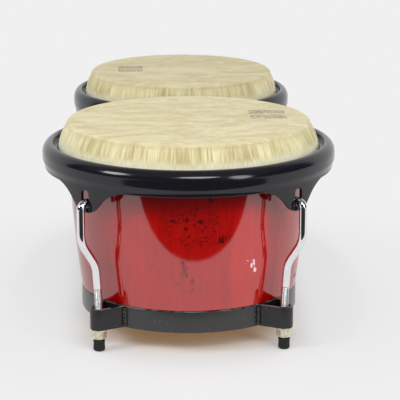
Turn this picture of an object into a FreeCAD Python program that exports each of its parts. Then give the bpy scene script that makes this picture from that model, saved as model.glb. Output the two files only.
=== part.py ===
"""A pair of bongo drums: two tapered wooden shells, open at the bottom, joined by a centre block.

Each drum has a head stretched over its bearing edge by a black steel rim with four slotted ears.  A J-hook
rod hangs in each ear, cranks inwards past the shell and goes down through a strap bracket on the bottom
ring, where a washer and a nut draw it down.  A rubber cap on each rod's end is a foot.

Frame: millimetres, +Z up, the hembra (large drum) at -Y and the macho (small drum) at +Y, with the origin on
the floor under the middle of the pair.
"""

import FreeCAD
import Part

import math
import os

from FreeCAD import Vector

UP = Vector(0, 0, 1)
AXIS_X = Vector(1, 0, 0)
HALF_TURN = math.sqrt(0.5)  # share of a quarter arc's radius at its middle

# ---- driving dimensions -------------------------------------------------------------------------------

HEMBRA_HEAD_D = 219.0  # 8 5/8 in head
MACHO_HEAD_D = 184.0  # 7 1/4 in head
RIM_GAP = 8.5  # between the two rims
LUG_ANGLES = (45, 135, 225, 315)  # degrees round each drum, from +X

# Heights, the same on both drums.
HEAD_Z = 190.0  # playing surface
SKIN_T = 0.6
BEARING_Z = HEAD_Z - SKIN_T  # top of the shell
RING_Z = 20.0  # bottom ring's lower edge
RING_H = 19.5
RING_TOP_Z = RING_Z + RING_H
SHELL_BOTTOM_Z = RING_Z + 0.6

# Radii of the large drum, as shares of its head's radius, so that the small drum is the same design.
SHELL_TOP_R = 0.9945
SHELL_WAIST_R = 0.9545  # at WAIST_Z
SHELL_LOW_R = 0.8905  # at the bottom ring's top edge
WAIST_Z = 101.0
RING_R = 0.8915  # outside of the bottom ring
COLLAR_R = 1.0594  # skin where it passes the rim's lip
COLLAR_END_R = 1.0660  # skin's lower end
LIP_R = 1.1068  # rim's inner wall
RIM_R = 1.1982  # rim's widest
EAR_R = 1.1808  # outside of the ears

BEARING_EDGE_R = 3.4  # rounding of the shell's top edge
SKIN_GAP = 0.05  # between the shell's side and the skin
COLLAR_BULGE = 0.7
SHELL_T = 9.5
INNER_BEVEL = 3.5  # width of the bevel inside the shell's top edge
REBATE_T = 2.7  # depth of the step that the bottom ring sits in
REBATE_CLEAR = 0.4  # between the ring's top edge and the step
FOOT_WALL_T = 7.1  # shell's thickness inside the ring
RING_T = 2.6

# Rim section.
RIM_T = 2.7
EAR_T = 3.0
CROWN_Z = 171.5
LIP_ROUND = 2.1
SHOULDER_Z = 162.6  # where the crown's curve meets the straight side
SIDE_LOW_Z = 155.0  # where the straight side turns in
TURN_IN = 4.2  # height of the turn from the side to the skirt
SKIRT_Z = 149.0  # rim's lower edge between the ears
FLANGE_Z = 163.5  # flange that presses on the flesh hoop
FLANGE_T = 2.6
FLANGE_CLEAR = 0.8  # between the flange and the skin

# Ears, from a lug's centreline out to each side.
EAR_ROOT_HALF = 38.0  # at the skirt
EAR_FLARE = (26.8, 145.2)  # half width and height in the middle of the flare
EAR_NECK = (19.0, 139.6)  # end of the flare
EAR_TIP = (11.4, 131.2)  # start of the round tip
EAR_TIP_Z = 127.3
EAR_OVERLAP = 0.5  # how far the ears run up into the skirt
SLOT_W = 9.0
SLOT_R = 3.0
SLOT_TOP_Z = 147.4

# Flesh hoop, and the skin's lower end inside it.
HOOP_H = 6.5
SKIN_BEND_Z = 168.0  # below this the skin goes straight down
SKIN_END_Z = 158.6
HOOP_CLEAR = 0.35  # between the skin and the hoop round it
HOOP_LIP_CLEAR = 0.4  # between the hoop and the rim's inner wall

# Tuning rods.
ROD_R = 3.55
HOOK_BEND_R = 6.2  # centreline radius of the hook
HOOK_TOP_Z = 139.8
HOOK_TAIL = 2.0  # straight end of the hook inside the ear
ROD_STANDOFF = 5.1  # from the ear's face to the rod's axis
CRANK_TOP_Z = 101.5  # corners of the crank, before they are rounded
CRANK_LOW_Z = 78.0
CRANK_R = 24.0
ROD_LEAN = 2.6  # how much further out the rod stands at the crank than in its bracket
STRAIGHT_Z = 47.0  # below this the rod is upright
LEAN_R = 60.0
BRACKET_REACH = 17.2  # from the ring's outside to the rod's axis
ROD_END_Z = 2.5

# Strap brackets, washers, nuts and caps.
BRACKET_T = 2.6
BRACKET_BORE_R = 5.1  # inside of the bracket's nose, loose round the rod
BRACKET_FOOT = 13.5  # half the bracket's width where it meets the ring
WASHER_T = 1.5
WASHER_R = 7.3
WASHER_CLEAR = 0.35
NUT_AF = 12.0
NUT_H = 7.0
NUT_BORE_CLEAR = 0.05
NUT_CHAMFER = 0.9
HEX_MARGIN = 0.1  # the chamfering cone stands this far outside a nut's corners
CAP_R = 5.2
CAP_H = 10.5
CAP_ROUND = 2.2
CAP_CHAMFER = 0.6

# Centre block and its bolts.
BLOCK_W = 84.0
BLOCK_Z = (70.0, 138.0)
BLOCK_EDGE_R = 5.0
BOLT_R = 4.0
BOLT_Z = (86.0, 122.0)
BOLT_HOLE_CLEAR = 0.25
SEAT_R = 13.5
SEAT_DEPTH = 0.9
DRILL_REACH = 30.0  # drills and spot-facers run this far past the wood
PLATE_R = 12.0
PLATE_T = 2.0
BOLT_HEAD_R = 8.5
BOLT_HEAD_H = 4.5
BOLT_HEAD_EDGE = 0.8
BLOCK_NUT_AF = 13.0
BLOCK_NUT_H = 6.8
BOLT_SPARE = 3.0  # bolt beyond its nut


# ---- geometry helpers ---------------------------------------------------------------------------------


def at(r, z):
    """A point in the X-Z half plane, where sections of turned parts are drawn."""
    return Vector(r, 0, z)


def outline(start, *steps):
    """A closed face: each step is a point for a line, or a (through, end) pair for an arc."""
    edges = []
    here = start
    for step in steps + (start,):
        if isinstance(step, tuple):
            edges.append(Part.Arc(here, step[0], step[1]).toShape())
            here = step[1]
        elif step.distanceToPoint(here) > 1e-6:
            edges.append(Part.LineSegment(here, step).toShape())
            here = step
    return Part.Face(Part.Wire(edges))


def turned(face):
    return face.revolve(Vector(), UP, 360)


def ring(inner, outer, low, height):
    solid = Part.makeCylinder(outer, height, Vector(0, 0, low))
    return solid.cut(Part.makeCylinder(inner, height, Vector(0, 0, low)))


def corner_arc(before, corner, after, radius):
    """Start, middle and end of the arc that rounds a corner between two runs."""
    back = (before - corner).normalize()
    onward = (after - corner).normalize()
    half = back.getAngle(onward) / 2
    centre = corner + (back + onward).normalize() * (radius / math.sin(half))
    reach = radius / math.tan(half)
    middle = centre + (corner - centre).normalize() * radius
    return corner + back * reach, middle, corner + onward * reach


def hexagon(across_flats, low, height):
    """A hexagonal prism on the Z axis, its corners chamfered top and bottom."""
    corner_r = across_flats / math.sqrt(3)
    corners = [
        Vector(corner_r * math.cos(math.radians(a)), corner_r * math.sin(math.radians(a)), low)
        for a in range(0, 420, 60)
    ]
    prism = Part.Face(Part.makePolygon(corners)).extrude(UP * height)
    flat_r = across_flats / 2
    top = low + height
    barrel = turned(
        outline(
            at(0, low),
            at(flat_r, low),
            at(corner_r + HEX_MARGIN, low + NUT_CHAMFER),
            at(corner_r + HEX_MARGIN, top - NUT_CHAMFER),
            at(flat_r, top),
            at(0, top),
        )
    )
    return prism.common(barrel)


def placed(solid, drum, angle):
    """A copy of a solid drawn on a drum's +X side, turned to a lug's angle and moved to its drum."""
    copy = solid.copy()
    copy.rotate(Vector(), UP, angle)
    copy.translate(Vector(0, drum.y, 0))
    return copy


# ---- one drum -----------------------------------------------------------------------------------------


class Drum:
    """Sizes that both drums share by design, worked out from the head's diameter."""

    def __init__(self, name, head_d):
        self.name = name
        head_r = head_d / 2
        self.shell_top_r = SHELL_TOP_R * head_r
        self.shell_waist_r = SHELL_WAIST_R * head_r
        self.shell_low_r = SHELL_LOW_R * head_r
        self.ring_r = RING_R * head_r
        self.collar_r = COLLAR_R * head_r
        self.collar_end_r = COLLAR_END_R * head_r
        self.lip_r = LIP_R * head_r
        self.rim_r = RIM_R * head_r
        self.ear_r = EAR_R * head_r
        self.hook_r = self.ear_r + ROD_STANDOFF
        self.rod_r = self.ring_r + BRACKET_REACH
        self.y = 0.0
        self.arc_centre_r, self.arc_centre_z, self.arc_r = self.shell_arc()
        self.edge_r = self.shell_r(BEARING_Z - BEARING_EDGE_R)

    def shell_arc(self):
        """Circle through the shell's outside at its top, waist and bottom ring."""
        edge = Part.Arc(
            at(self.shell_top_r, BEARING_Z),
            at(self.shell_waist_r, WAIST_Z),
            at(self.shell_low_r, RING_TOP_Z),
        )
        circle = edge.toShape().Curve
        return circle.Center.x, circle.Center.z, circle.Radius

    def shell_r(self, z):
        """Outside radius of the shell at a height."""
        return self.arc_centre_r + math.sqrt(self.arc_r**2 - (z - self.arc_centre_z) ** 2)

    def inside_r(self, z):
        return self.shell_r(z) - SHELL_T

    def side(self, z):
        """Point on the shell's outside at a height."""
        return at(self.shell_r(z), z)


def shell(drum):
    """Turned shell: barrel-curved outside, rounded bearing edge, and a step for the bottom ring."""
    edge = BEARING_EDGE_R
    edge_start = edge * (1 - HALF_TURN)
    middle_z = (RING_TOP_Z + BEARING_Z) / 2
    step_r = drum.ring_r - REBATE_T
    step_z = RING_TOP_Z + REBATE_CLEAR
    top_r = drum.edge_r
    bore_r = top_r - SHELL_T
    section = outline(
        at(step_r, SHELL_BOTTOM_Z),
        at(step_r, step_z),
        drum.side(step_z),
        (drum.side(middle_z), drum.side(BEARING_Z - edge)),
        (at(top_r - edge_start, BEARING_Z - edge_start), at(top_r - edge, BEARING_Z)),
        at(bore_r + INNER_BEVEL, BEARING_Z - INNER_BEVEL / 2),
        at(bore_r, BEARING_Z - 2 * INNER_BEVEL),
        (at(drum.inside_r(middle_z), middle_z), at(drum.shell_low_r - SHELL_T, RING_TOP_Z)),
        at(step_r - FOOT_WALL_T, SHELL_BOTTOM_Z),
    )
    return turned(section)


def head_skin(drum):
    """Film head: flat over the bearing edge, a slightly bulged cone, then straight down inside the hoop."""
    top_r = drum.edge_r + SKIN_GAP + SKIN_T
    edge = BEARING_EDGE_R + SKIN_T
    flat_r = top_r - edge
    low = HEAD_Z - edge
    middle = at((top_r + drum.collar_r) / 2 + COLLAR_BULGE, (low + CROWN_Z) / 2)
    inside = at(-SKIN_T, 0)
    section = outline(
        at(0, HEAD_Z),
        at(flat_r, HEAD_Z),
        (at(flat_r + edge * HALF_TURN, low + edge * HALF_TURN), at(top_r, low)),
        (middle, at(drum.collar_r, CROWN_Z)),
        at(drum.collar_end_r, SKIN_BEND_Z),
        at(drum.collar_end_r, SKIN_END_Z),
        at(drum.collar_end_r, SKIN_END_Z) + inside,
        at(drum.collar_end_r, SKIN_BEND_Z) + inside,
        at(drum.collar_r, CROWN_Z) + inside,
        (middle + inside, at(top_r, low) + inside),
        (
            at(flat_r + BEARING_EDGE_R * HALF_TURN, low + BEARING_EDGE_R * HALF_TURN),
            at(flat_r, BEARING_Z),
        ),
        at(0, BEARING_Z),
    )
    return turned(section)


def flesh_hoop(drum):
    inner = drum.collar_end_r + HOOP_CLEAR
    return ring(inner, drum.lip_r - HOOP_LIP_CLEAR, FLANGE_Z - HOOP_H, HOOP_H)


def rim_band(drum):
    """The rim between its ears: a crowned lip, its inner flange, and a short skirt."""
    lip_start = LIP_ROUND * (1 - HALF_TURN)
    crown = at(drum.lip_r + LIP_ROUND, CROWN_Z)
    crown_run = drum.rim_r - crown.x
    crown_rise = CROWN_Z - SHOULDER_Z
    skirt_r = drum.ear_r - EAR_T
    inner_wall_r = drum.lip_r + RIM_T
    inner_run = drum.rim_r - RIM_T - inner_wall_r
    inner_rise = crown_rise - RIM_T
    flange_r = drum.collar_end_r + FLANGE_CLEAR
    section = outline(
        at(flange_r, FLANGE_Z),
        at(flange_r, FLANGE_Z + FLANGE_T),
        at(drum.lip_r, FLANGE_Z + FLANGE_T),
        at(drum.lip_r, CROWN_Z - LIP_ROUND),
        (at(drum.lip_r + lip_start, CROWN_Z - lip_start), crown),
        (
            at(crown.x + crown_run * HALF_TURN, SHOULDER_Z + crown_rise * HALF_TURN),
            at(drum.rim_r, SHOULDER_Z),
        ),
        at(drum.rim_r, SIDE_LOW_Z),
        (
            at(0.7 * drum.rim_r + 0.3 * drum.ear_r, SIDE_LOW_Z - TURN_IN / 2),
            at(drum.ear_r, SIDE_LOW_Z - TURN_IN),
        ),
        at(drum.ear_r, SKIRT_Z),
        at(skirt_r, SKIRT_Z),
        at(skirt_r, SIDE_LOW_Z - TURN_IN),
        at(drum.rim_r - RIM_T, SIDE_LOW_Z),
        at(drum.rim_r - RIM_T, SHOULDER_Z),
        (
            at(inner_wall_r + inner_run * HALF_TURN, SHOULDER_Z + inner_rise * HALF_TURN),
            at(inner_wall_r, SHOULDER_Z + inner_rise),
        ),
        at(inner_wall_r, FLANGE_Z),
    )
    return turned(section)


def ear_outline(drum):
    """Face of one ear, flat against the drum's +X side: a flare, straight sides and a round tip."""

    def left(half_width, z):
        return Vector(drum.ear_r, -half_width, z)

    def right(half_width, z):
        return Vector(drum.ear_r, half_width, z)

    top_z = SKIRT_Z + EAR_OVERLAP
    return outline(
        left(EAR_ROOT_HALF, top_z),
        left(EAR_ROOT_HALF, SKIRT_Z),
        (left(*EAR_FLARE), left(*EAR_NECK)),
        left(*EAR_TIP),
        (left(0, EAR_TIP_Z), right(*EAR_TIP)),
        right(*EAR_NECK),
        (right(*EAR_FLARE), right(EAR_ROOT_HALF, SKIRT_Z)),
        right(EAR_ROOT_HALF, top_z),
    )


def slot_seat_z():
    """Lower end of the slot, which the inside of the hook's bend bears on."""
    bend_z = HOOK_TOP_Z - ROD_R - HOOK_BEND_R
    inside = HOOK_BEND_R - ROD_R
    past_face = HOOK_BEND_R - ROD_STANDOFF
    furthest = max(past_face, EAR_T - past_face)
    return bend_z + math.sqrt(inside**2 - furthest**2)


def hook_slot(drum):
    """Cutter for the slot that a hook goes through, on the +X side."""
    reach = 3 * EAR_T
    seat = slot_seat_z()
    start = Vector(drum.ear_r - 2 * EAR_T, -SLOT_W / 2, seat)
    slot = Part.makeBox(reach, SLOT_W, SLOT_TOP_Z - seat, start)
    corners = [edge for edge in slot.Edges if abs(edge.tangentAt(edge.FirstParameter).x) > 0.9]
    return slot.makeFillet(SLOT_R, corners)


def rim(drum):
    """Rim with its four slotted ears."""
    stock_h = SKIRT_Z + EAR_OVERLAP - EAR_TIP_Z
    stock = ring(drum.ear_r - EAR_T, drum.ear_r, EAR_TIP_Z, stock_h)
    blank = ear_outline(drum).extrude(AXIS_X * -drum.ear_r / 2)
    blank = blank.fuse(ear_outline(drum).extrude(AXIS_X * EAR_T))
    ear = stock.common(blank)
    slot = hook_slot(drum)
    whole = rim_band(drum)
    for angle in LUG_ANGLES:
        piece = ear.copy()
        piece.rotate(Vector(), UP, angle)
        whole = whole.fuse(piece)
    for angle in LUG_ANGLES:
        cutter = slot.copy()
        cutter.rotate(Vector(), UP, angle)
        whole = whole.cut(cutter)
    return whole.removeSplitter()


def bottom_ring(drum):
    return ring(drum.ring_r - RING_T, drum.ring_r, RING_Z, RING_H)


def strap(drum, thickness_out):
    """Filled plan of a bracket on the +X side: two legs from the ring to a nose round the rod."""
    nose_r = BRACKET_BORE_R + thickness_out
    foot_half = BRACKET_FOOT - BRACKET_T + thickness_out
    foot = Vector(math.sqrt(drum.ring_r**2 - foot_half**2), foot_half, RING_Z)
    nose = Vector(drum.rod_r, 0, RING_Z)
    reach = foot - nose
    turn = math.atan2(reach.y, reach.x) - math.acos(nose_r / math.hypot(reach.x, reach.y))
    touch = nose + Vector(math.cos(turn), math.sin(turn), 0) * nose_r
    mirror = Vector(touch.x, -touch.y, RING_Z)
    low_foot = Vector(foot.x, -foot.y, RING_Z)
    deep = drum.ring_r - BRACKET_REACH
    plan = outline(
        Vector(deep, foot_half, RING_Z),
        foot,
        touch,
        (nose + AXIS_X * nose_r, mirror),
        low_foot,
        Vector(deep, -foot_half, RING_Z),
    )
    return plan.extrude(UP * RING_H)


def bracket(drum):
    """U-shaped steel strap, welded by its two feet to the ring's outside."""
    inner = strap(drum, 0.0)
    whole = strap(drum, BRACKET_T).cut(inner)
    return whole.cut(Part.makeCylinder(drum.ring_r, RING_H, Vector(0, 0, RING_Z)))


def tuning_rod(drum):
    """J-hook rod on the drum's +X side: hook, outer leg, crank, and the straight end that is threaded."""
    bend_z = HOOK_TOP_Z - ROD_R - HOOK_BEND_R
    tail_r = drum.hook_r - 2 * HOOK_BEND_R
    hook_top = at(drum.hook_r - HOOK_BEND_R, bend_z + HOOK_BEND_R)
    leg = at(drum.hook_r, bend_z)
    upper = at(drum.hook_r, CRANK_TOP_Z)
    lower = at(drum.rod_r + ROD_LEAN, CRANK_LOW_Z)
    straight = at(drum.rod_r, STRAIGHT_Z)
    end = at(drum.rod_r, ROD_END_Z)
    edges = [
        Part.LineSegment(at(tail_r, bend_z - HOOK_TAIL), at(tail_r, bend_z)).toShape(),
        Part.Arc(at(tail_r, bend_z), hook_top, leg).toShape(),
    ]
    here = leg
    for before, corner, after, radius in (
        (leg, upper, lower, CRANK_R),
        (upper, lower, straight, CRANK_R),
        (lower, straight, end, LEAN_R),
    ):
        first, middle, last = corner_arc(before, corner, after, radius)
        edges.append(Part.LineSegment(here, first).toShape())
        edges.append(Part.Arc(first, middle, last).toShape())
        here = last
    edges.append(Part.LineSegment(here, end).toShape())
    path = Part.Wire(edges)
    start = at(tail_r, bend_z - HOOK_TAIL)
    profile = Part.Wire(Part.makeCircle(ROD_R, start, UP))
    return path.makePipeShell([profile], True, True)


def on_rod(drum, solid):
    """A solid drawn on the Z axis, moved to the rod's axis on the +X side."""
    moved = solid.copy()
    moved.translate(Vector(drum.rod_r, 0, 0))
    return moved


def washer(drum):
    return on_rod(drum, ring(ROD_R + WASHER_CLEAR, WASHER_R, RING_Z - WASHER_T, WASHER_T))


def tuning_nut(drum, angle):
    """Nut under a lug, turned so that all of a drum's nuts stand alike."""
    low = RING_Z - WASHER_T - NUT_H
    bore = Part.makeCylinder(ROD_R + NUT_BORE_CLEAR, NUT_H, Vector(0, 0, low))
    nut = hexagon(NUT_AF, low, NUT_H).cut(bore)
    nut.rotate(Vector(), UP, -angle)
    return on_rod(drum, nut)


def rubber_cap(drum):
    """Cap with a rounded foot, pushed onto the rod's end."""
    round_start = CAP_ROUND * (1 - HALF_TURN)
    body = turned(
        outline(
            at(0, 0),
            at(CAP_R - CAP_ROUND, 0),
            (at(CAP_R - round_start, round_start), at(CAP_R, CAP_ROUND)),
            at(CAP_R, CAP_H - CAP_CHAMFER),
            at(CAP_R - CAP_CHAMFER, CAP_H),
            at(0, CAP_H),
        )
    )
    return on_rod(drum, body.cut(Part.makeCylinder(ROD_R, CAP_H, Vector(0, 0, ROD_END_Z))))


# ---- centre block and its bolts -----------------------------------------------------------------------


def along_y(solid, y, z):
    """A solid drawn on the Z axis from 0 upwards, laid along +Y from a point on the bolts' plane."""
    laid = solid.copy()
    laid.rotate(Vector(), AXIS_X, -90)
    laid.translate(Vector(0, y, z))
    return laid


def seat_y(drum, z):
    """Plane of the spot face inside a shell, where a bolt's plate washer lies."""
    side = 1 if drum.y < 0 else -1
    tight_z = z - SEAT_R
    return drum.y + side * (drum.inside_r(tight_z) + SEAT_DEPTH)


def bored_shell(drum):
    """Shell with a hole and a spot face for each bolt."""
    whole = shell(drum)
    whole.translate(Vector(0, drum.y, 0))
    inward = -1 if drum.y < 0 else 1
    for z in BOLT_Z:
        face_y = seat_y(drum, z)
        drill = Part.makeCylinder(BOLT_R + BOLT_HOLE_CLEAR, 2 * DRILL_REACH)
        spot_facer = Part.makeCylinder(SEAT_R, DRILL_REACH)
        whole = whole.cut(along_y(drill, face_y - DRILL_REACH, z))
        whole = whole.cut(along_y(spot_facer, face_y if inward > 0 else face_y - DRILL_REACH, z))
    return whole


def centre_block(large, small):
    """Hardwood block whose ends are hollowed to fit the two shells."""
    low, high = BLOCK_Z
    start = large.y + large.shell_waist_r - BLOCK_W / 4
    length = small.y - small.shell_waist_r + BLOCK_W / 4 - start
    body = Part.makeBox(BLOCK_W, length, high - low, Vector(-BLOCK_W / 2, start, low))
    long_edges = [edge for edge in body.Edges if abs(edge.tangentAt(edge.FirstParameter).y) > 0.9]
    body = body.makeFillet(BLOCK_EDGE_R, long_edges)
    for drum in (large, small):
        filled = turned(
            outline(
                at(0, low - BLOCK_EDGE_R),
                drum.side(low - BLOCK_EDGE_R),
                (drum.side((low + high) / 2), drum.side(high + BLOCK_EDGE_R)),
                at(0, high + BLOCK_EDGE_R),
            )
        )
        filled.translate(Vector(0, drum.y, 0))
        body = body.cut(filled)
    for z in BOLT_Z:
        body = body.cut(along_y(Part.makeCylinder(BOLT_R + BOLT_HOLE_CLEAR, length), start, z))
    return body


def block_bolt(large, small, z):
    """Pan-head bolt from inside the large shell to inside the small one."""
    start = seat_y(large, z) - PLATE_T
    end = seat_y(small, z) + PLATE_T + BLOCK_NUT_H + BOLT_SPARE
    shoulder = at(BOLT_HEAD_R * HALF_TURN, -BOLT_HEAD_H * HALF_TURN)
    head = turned(
        outline(
            at(0, -BOLT_HEAD_H),
            (shoulder, at(BOLT_HEAD_R, -BOLT_HEAD_EDGE)),
            at(BOLT_HEAD_R, 0),
            at(0, 0),
        )
    )
    return along_y(head.fuse(Part.makeCylinder(BOLT_R, end - start)), start, z)


def plate_washers(large, small):
    plate = ring(BOLT_R + BOLT_HOLE_CLEAR, PLATE_R, 0, PLATE_T)
    return [
        along_y(plate, y, z)
        for z in BOLT_Z
        for y in (seat_y(large, z) - PLATE_T, seat_y(small, z))
    ]


def block_nuts(small):
    nut = hexagon(BLOCK_NUT_AF, 0, BLOCK_NUT_H).cut(Part.makeCylinder(BOLT_R, BLOCK_NUT_H))
    return [along_y(nut, seat_y(small, z) + PLATE_T, z) for z in BOLT_Z]


# ---- assembly -----------------------------------------------------------------------------------------


def save(name, solids):
    shape = solids[0] if len(solids) == 1 else Part.makeCompound(solids)
    if not shape.isValid():
        raise RuntimeError(name + " is not a valid shape")
    shape.exportStep("parts/" + name + ".step")
    print(f"{name:28s} solids {len(shape.Solids)}  volume {shape.Volume / 1000:9.2f} cm3")


def save_drum(drum):
    save(drum.name + "_shell", [bored_shell(drum)])
    for part_name, make in (
        ("head_skin", head_skin),
        ("flesh_hoop", flesh_hoop),
        ("rim", rim),
        ("bottom_ring", bottom_ring),
    ):
        save(drum.name + "_" + part_name, [placed(make(drum), drum, 0)])
    for part_name, piece in (
        ("lug_bracket", bracket(drum)),
        ("nut_washer", washer(drum)),
        ("tuning_rod", tuning_rod(drum)),
        ("rubber_cap", rubber_cap(drum)),
    ):
        for number, angle in enumerate(LUG_ANGLES, 1):
            save(f"{drum.name}_{part_name}_{number}", [placed(piece, drum, angle)])
    for number, angle in enumerate(LUG_ANGLES, 1):
        save(f"{drum.name}_tuning_nut_{number}", [placed(tuning_nut(drum, angle), drum, angle)])


def main():
    os.makedirs("parts", exist_ok=True)
    large = Drum("hembra", HEMBRA_HEAD_D)
    small = Drum("macho", MACHO_HEAD_D)
    spacing = large.rim_r + small.rim_r + RIM_GAP
    large.y = -(spacing + small.rim_r - large.rim_r) / 2
    small.y = large.y + spacing
    save_drum(large)
    save_drum(small)
    save("centre_block", [centre_block(large, small)])
    save("block_bolts", [block_bolt(large, small, z) for z in BOLT_Z])
    save("block_plate_washers", plate_washers(large, small))
    save("block_nuts", block_nuts(small))
    for drum in (large, small):
        print(
            f"{drum.name}: y {drum.y:.3f}, rim r {drum.rim_r:.3f}, hook r {drum.hook_r:.3f}, "
            f"rod r {drum.rod_r:.3f}, inside r at bottom {drum.shell_low_r - SHELL_T:.2f}"
        )


main()
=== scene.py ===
"""Looks for a pair of bongo drums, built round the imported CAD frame.

The large drum (hembra) is at -Y and the small one (macho) at +Y, +Z up.  The camera, lights and floor are in
metres, and the rest is in millimetres until a mesh is made.  Turned and bent parts are made here in finer
detail than their CAD solids.  Nuts, washers, bolts and the centre block are the CAD pieces, with softened
edges and their own materials.
"""

import math

import bmesh
import bpy
import numpy as np
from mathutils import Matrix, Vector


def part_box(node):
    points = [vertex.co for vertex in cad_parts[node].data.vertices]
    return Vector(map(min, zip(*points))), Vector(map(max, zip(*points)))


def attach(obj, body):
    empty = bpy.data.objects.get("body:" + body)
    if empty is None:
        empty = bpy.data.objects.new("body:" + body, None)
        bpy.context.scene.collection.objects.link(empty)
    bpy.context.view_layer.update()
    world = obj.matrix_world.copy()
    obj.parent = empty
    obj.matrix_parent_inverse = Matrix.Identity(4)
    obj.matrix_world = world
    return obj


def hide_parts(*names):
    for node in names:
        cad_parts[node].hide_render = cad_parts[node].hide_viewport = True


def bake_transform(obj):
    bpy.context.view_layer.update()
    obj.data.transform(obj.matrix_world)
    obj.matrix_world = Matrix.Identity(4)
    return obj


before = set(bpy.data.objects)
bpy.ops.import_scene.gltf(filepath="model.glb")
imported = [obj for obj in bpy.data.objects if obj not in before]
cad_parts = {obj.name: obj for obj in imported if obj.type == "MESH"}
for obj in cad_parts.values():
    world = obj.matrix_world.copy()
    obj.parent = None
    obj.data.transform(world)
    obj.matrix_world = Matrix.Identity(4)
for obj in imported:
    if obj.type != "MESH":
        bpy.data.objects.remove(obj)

MM = 0.001
TAU = 2 * math.pi
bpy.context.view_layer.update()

# ---- camera, lights, floor ----

CAMERA_PLACE = (-0.0496, -1.7096, 0.5217)
CAMERA_DOWN = 14.31  # degrees
CAMERA_RIGHT = 2.15  # degrees
CAMERA_LENS = 163.46

LIGHT_AIM = (0.0, -0.11, 0.15)  # the large drum
# azimuth from the camera side (+ to the right), elevation, distance, width, height, watts
STUDIO_LIGHTS = {
    "front_light": (6, 36, 1.7, 0.80, 0.42, 8),
    "left_light": (-64, 32, 1.7, 0.55, 0.60, 8),
    "right_light": (38, 20, 1.7, 0.45, 0.90, 6),
}
HEAD_GLOW_WATTS = 0.05
HEAD_GLOW_COLOUR = (1.0, 0.60, 0.20)
HEAD_GLOW_Z = 0.16  # just under the heads
HEAD_GLOW_SHARE = 1.5  # width, to the bottom ring's radius

FLOOR_HALF = 30.0
# How the shadowed floor turns white: first and last distance, then what it goes from and to.
FLOOR_OVAL = (1.0, 0.55, 0.0)  # y counts for less, because the pair is long
FLOOR_WHITER = (0.10, 0.20)
# Painted light: beside the drums the glowing paper covers up to 0.72 of the real shadow.
FLOOR_BESIDE = (0.080, 0.122, 0.0, 0.72)
# Painted shade: the glowing paper is a little dimmer near the drums, for a broad soft shadow.
FLOOR_PAINTED_SHADE = (0.20, 0.38, 0.95, 1.0)
TABLE_EDGE = 0.376  # how far in front of the middle the reflected floor ends
TABLE_EDGE_X = 0.07
TABLE_EDGE_BOW = 0.54  # how fast that edge comes nearer to either side
TABLE_EDGE_SOFT = 0.008


def new_object(name, data):
    thing = bpy.data.objects.new(name, data)
    bpy.context.collection.objects.link(thing)
    return thing


def add_camera():
    data = bpy.data.cameras.new("camera")
    data.lens = CAMERA_LENS
    data.sensor_width = 36.0
    data.clip_end = 200.0
    camera = new_object("camera", data)
    camera.location = CAMERA_PLACE
    camera.rotation_euler = (math.radians(90 - CAMERA_DOWN), 0, math.radians(-CAMERA_RIGHT))
    bpy.context.scene.camera = camera


def area_light(name, shape, width, watts):
    data = bpy.data.lights.new(name, "AREA")
    data.shape = shape
    data.size = width
    data.energy = watts
    return new_object(name, data)


def add_light(name, azimuth, elevation, distance, width, height, watts):
    light = area_light(name, "ELLIPSE", width, watts)
    light.data.size_y = height
    az, el = math.radians(azimuth), math.radians(elevation)
    way = np.array((math.sin(az) * math.cos(el), -math.cos(az) * math.cos(el), math.sin(el)))
    light.location = np.array(LIGHT_AIM) + way * distance
    light.rotation_euler = (math.radians(90 - elevation), 0, az)


def add_head_glow(name, y, width):
    """Warm light inside a shell, for the daylight that a cream head lets through to the floor below."""
    light = area_light(name, "DISK", width, HEAD_GLOW_WATTS)
    light.data.color = HEAD_GLOW_COLOUR
    light.location = (0, y, HEAD_GLOW_Z)


class Nodes:
    """Makes a node tree readable: each call adds one node and returns its output."""

    def __init__(self, tree):
        self.tree = tree
        tree.nodes.clear()

    def add(self, kind, inputs=None, **settings):
        node = self.tree.nodes.new(kind)
        for key, value in settings.items():
            setattr(node, key, value)
        for key, value in (inputs or {}).items():
            self.feed(node.inputs[key], value)
        return node

    def feed(self, socket, value):
        if isinstance(value, bpy.types.NodeSocket):
            self.tree.links.new(value, socket)
        else:
            socket.default_value = value

    def math(self, operation, a, b=0.0):
        return self.add("ShaderNodeMath", {0: a, 1: b}, operation=operation).outputs[0]

    def plus(self, a, b):
        return self.math("ADD", a, b)

    def minus(self, a, b):
        return self.math("SUBTRACT", a, b)

    def times(self, a, b):
        return self.math("MULTIPLY", a, b)

    def step(self, value, low, high, to_low=0.0, to_high=1.0):
        """Smooth step of a value from low to high."""
        node = self.add(
            "ShaderNodeMapRange",
            {"Value": value, "From Min": low, "From Max": high, "To Min": to_low, "To Max": to_high},
            interpolation_type="SMOOTHSTEP",
        )
        return node.outputs["Result"]

    def mix(self, share, a, b):
        node = self.add("ShaderNodeMix", data_type="RGBA")
        self.feed(node.inputs["Factor"], share)
        self.feed(node.inputs[6], a)
        self.feed(node.inputs[7], b)
        return node.outputs[2]

    def point(self, x, y, z):
        return self.add("ShaderNodeCombineXYZ", {0: x, 1: y, 2: z}).outputs[0]

    def split(self, vector):
        return self.add("ShaderNodeSeparateXYZ", {0: vector}).outputs

    def stretch(self, vector, x, y, z):
        return self.add("ShaderNodeVectorMath", {0: vector, 1: (x, y, z)}, operation="MULTIPLY").outputs[0]

    def length(self, vector):
        return self.add("ShaderNodeVectorMath", {0: vector}, operation="LENGTH").outputs["Value"]

    def noise(self, vector, scale, detail=3.0, rough=0.5, warp=0.0):
        inputs = {"Vector": vector, "Scale": scale, "Detail": detail, "Roughness": rough, "Distortion": warp}
        return self.add("ShaderNodeTexNoise", inputs).outputs["Fac"]

    def bump(self, height, depth, after=None):
        """Normal from a height of 0 to 1 that stands for a depth in metres."""
        node = self.add("ShaderNodeBump", {"Height": height, "Distance": depth})
        node.inputs["Strength"].default_value = 1.0
        if after is not None:
            self.feed(node.inputs["Normal"], after)
        return node.outputs[0]


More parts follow.
